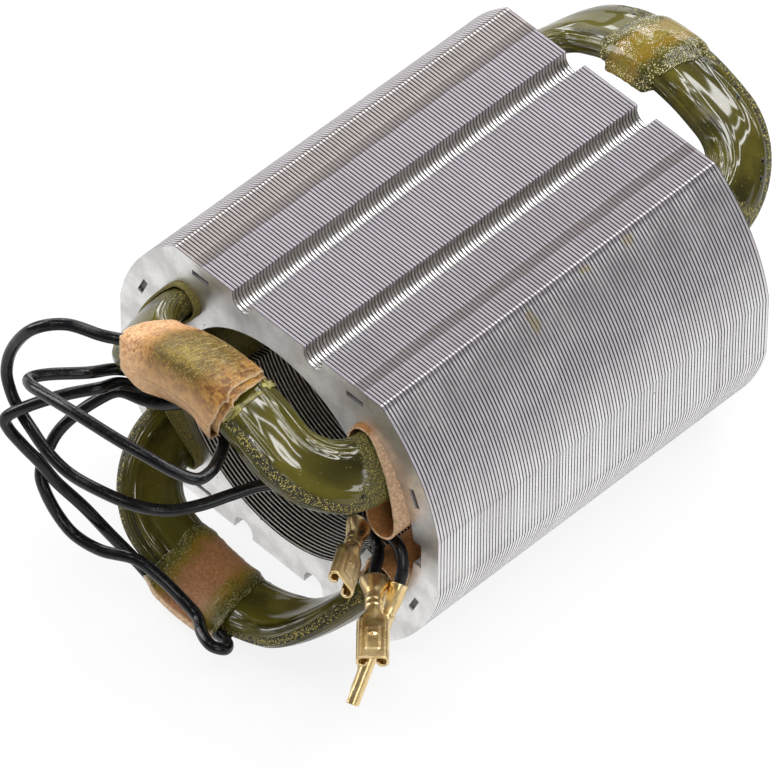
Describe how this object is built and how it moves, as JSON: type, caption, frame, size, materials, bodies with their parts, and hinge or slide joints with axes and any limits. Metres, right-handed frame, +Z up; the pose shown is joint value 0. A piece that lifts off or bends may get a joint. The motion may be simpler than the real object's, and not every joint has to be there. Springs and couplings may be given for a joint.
{
  "type": "angle grinder stator",
  "caption": "Universal-motor stator of a small angle grinder: laminated steel stack with an armature bore, varnished field coils in paper liners and leads with push-on terminals.",
  "frame": {"origin": "middle of the armature bore, halfway along the stack", "axes": "+Y along the bore from the lead end to the far end, +Z up through the upper coil, +X to the right seen from the lead end"},
  "size_m": [0.0611, 0.0937, 0.0439],
  "materials": {
    "lamination_steel": "satin punched sheet with a light oil film",
    "varnished_wire": "glossy olive impregnating varnish",
    "liner_paper": "fibrous insulating paper",
    "wrap_paper": "kraft paper with varnish stains",
    "soaked_paper": "varnish-soaked, half clear",
    "splice_brass": "bare crimp",
    "lead_insulation": "smooth black insulation",
    "terminal_brass": "bright stamped brass"
  },
  "bodies": {
    "root": {"lamination_stack": "lamination_steel", "upper_coil": "varnished_wire", "lower_coil": "varnished_wire", "right_upper_liner": "liner_paper", "right_lower_liner": "liner_paper", "left_upper_liner": "liner_paper", "left_lower_liner": "liner_paper", "upper_front_wrap": "wrap_paper", "lower_front_wrap": "wrap_paper", "upper_rear_wrap": "soaked_paper", "lower_rear_wrap": "soaked_paper", "upper_start_splice": "splice_brass", "upper_end_splice": "splice_brass", "lower_start_splice": "splice_brass", "lower_end_splice": "splice_brass", "upper_start_lead": "lead_insulation", "upper_end_lead": "lead_insulation", "lower_start_lead": "lead_insulation", "lower_end_lead": "lead_insulation", "upper_start_terminal": "terminal_brass", "upper_end_terminal": "terminal_brass", "lower_start_terminal": "terminal_brass", "lower_end_terminal": "terminal_brass"}
  },
  "joints": []
}
